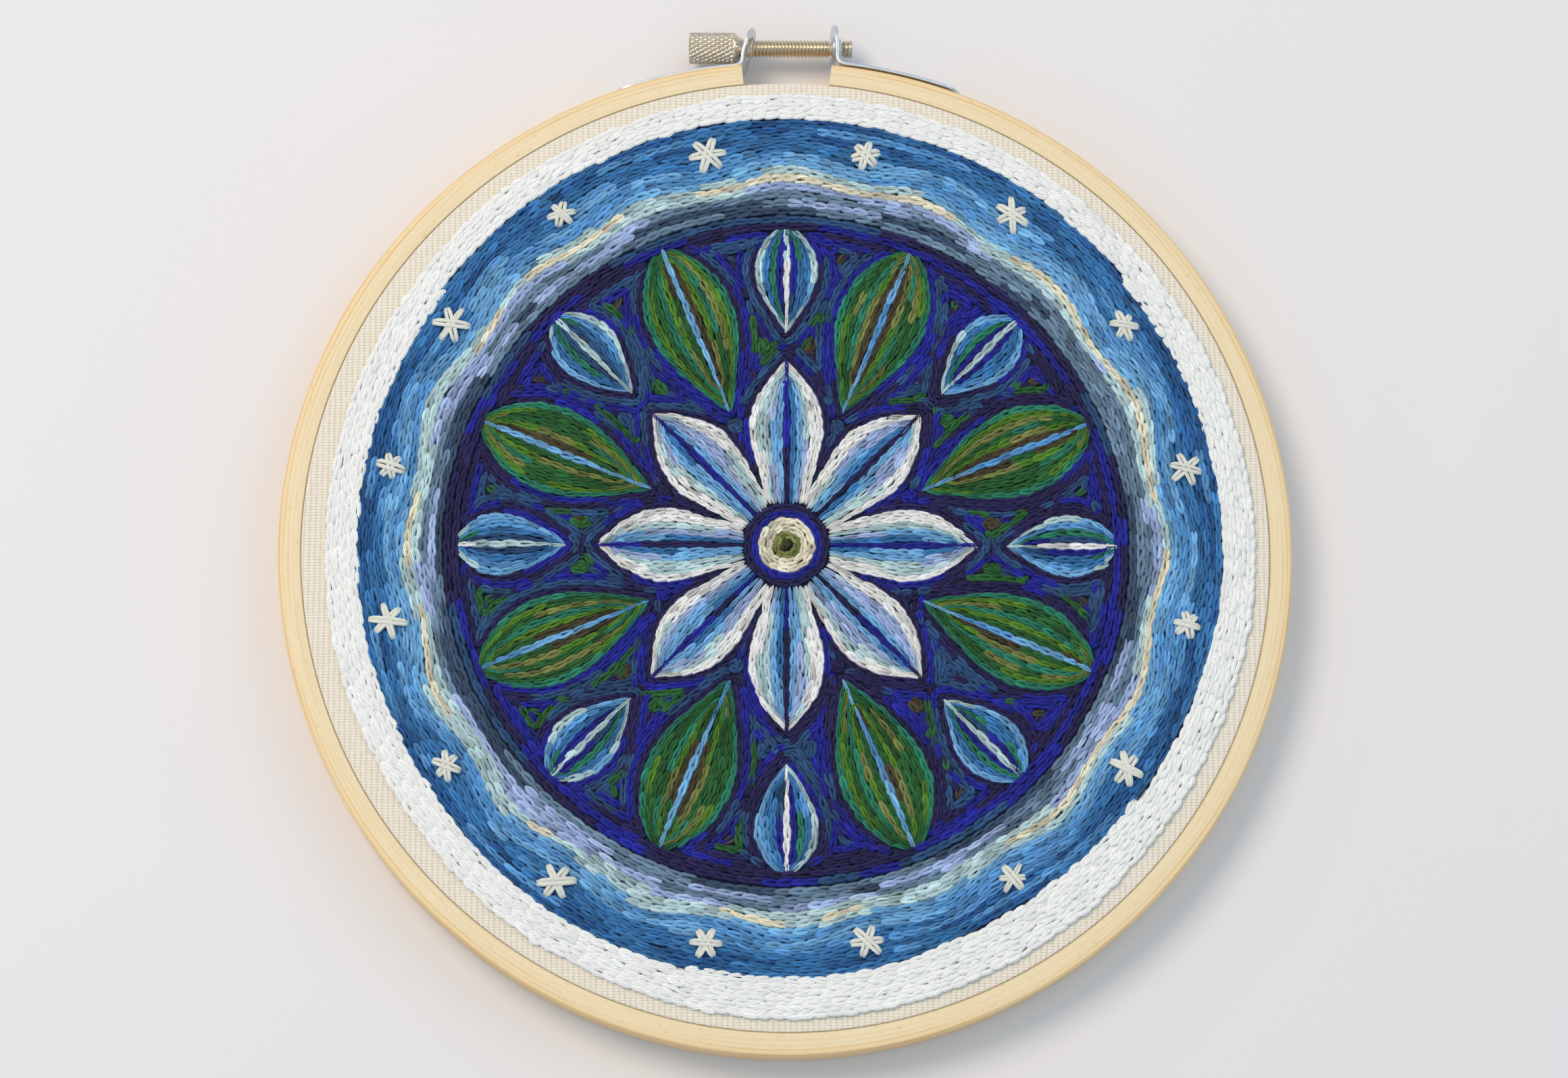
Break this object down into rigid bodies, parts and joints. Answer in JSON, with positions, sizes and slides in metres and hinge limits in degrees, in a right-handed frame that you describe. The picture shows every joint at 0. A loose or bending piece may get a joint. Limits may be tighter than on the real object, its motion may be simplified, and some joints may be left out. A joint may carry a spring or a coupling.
{
  "type": "stitched cloth in a bamboo embroidery hoop",
  "caption": "Cream cloth stretched in a split bamboo hoop with a knurled closing screw, filled with chain-stitched petals, leaves and bands inside a white stitched border.",
  "frame": {"origin": "under the middle of the whole piece, on the surface that its back lies on; the hoop's own axis is 3.75 mm towards -Y of it, because the closing screw stands out on the +Y side", "axes": "+Z out of the stitched front face, +Y from the hoop's middle towards the closing screw, +X along the screw from its knurled head to its point"},
  "size_m": [0.16, 0.1676, 0.0109],
  "materials": {
    "bamboo": "bare sanded bamboo with fine grain lines",
    "cream_cloth": "plain-weave cotton and linen",
    "white_floss": "glossy twisted cotton floss",
    "sky_floss": "glossy twisted cotton floss",
    "green_floss": "glossy twisted cotton floss",
    "blue_floss": "glossy twisted cotton floss",
    "pale_floss": "glossy twisted cotton floss",
    "plated_sheet": "bright plated sheet",
    "plated_screw": "warm nickel plate, knurled and threaded"
  },
  "bodies": {
    "hoop": {"outer_hoop": "bamboo", "inner_hoop": "bamboo", "ground_cloth": "cream_cloth", "border_stitching": "white_floss", "band_stitching": "sky_floss", "wreath_stitching": "green_floss", "ground_stitching": "blue_floss", "rosette_stitching": "pale_floss", "left_clasp": "plated_sheet", "right_clasp": "plated_sheet"},
    "closing_screw": {"thumb_screw": "plated_screw"}
  },
  "joints": [
    {"name": "thumb_screw_turn", "type": "hinge", "parent": "hoop", "child": "closing_screw", "pos_m": [0, 0.0801, 0.00475], "axis": [1, 0, 0], "continuous": true}
  ]
}
